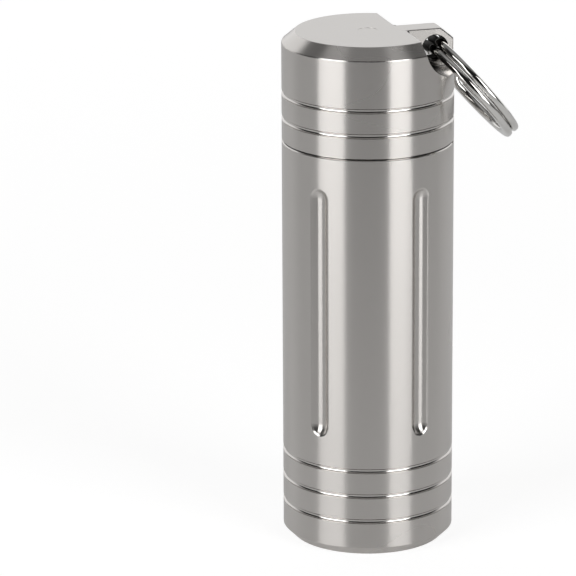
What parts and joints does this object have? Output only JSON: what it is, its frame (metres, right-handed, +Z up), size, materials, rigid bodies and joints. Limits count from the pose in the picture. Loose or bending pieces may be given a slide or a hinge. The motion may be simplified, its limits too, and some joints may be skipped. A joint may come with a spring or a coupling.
{
  "type": "pill fob keychain",
  "caption": "Slim turned-metal pill holder with a fluted tube, an O-ring sealed screw cap, and a lanyard lug that carries a split key ring.",
  "frame": {"origin": "centre of the flat base of the tube, on the axis that tube and cap share", "axes": "+Z up along the axis, towards the cap; +X towards the lanyard lug with the cap screwed tight; +Y by the right-hand rule"},
  "size_m": [0.0278, 0.02, 0.061],
  "materials": {
    "tube_steel": "satin, finely turned",
    "seal_rubber": "translucent off-white, soft sheen",
    "cap_steel": "satin, finely turned, with milled faces",
    "ring_steel": "polished"
  },
  "bodies": {
    "tube": {"tube": "tube_steel"},
    "seal": {"o_ring": "seal_rubber"},
    "cap": {"cap": "cap_steel"},
    "key_ring": {"split_ring": "ring_steel"}
  },
  "joints": [
    {"name": "cap_turn", "type": "hinge", "parent": "tube", "child": "seal", "pos_m": [0, 0, 0.0486], "axis": [0, 0, 1], "range_deg": [0, 2160]},
    {"name": "cap_rise", "type": "slide", "parent": "seal", "child": "cap", "axis": [0, 0, 1], "range_m": [0, 0.00601]},
    {"name": "ring_swing", "type": "hinge", "parent": "cap", "child": "key_ring", "pos_m": [0.00764, -0.00025, 0.05869], "axis": [0, -1, 0], "range_deg": [0, 178]}
  ],
  "couplings": [
    {"joint": "cap_rise", "follows": "cap_turn", "m_per_rad": 0.00015915}
  ]
}
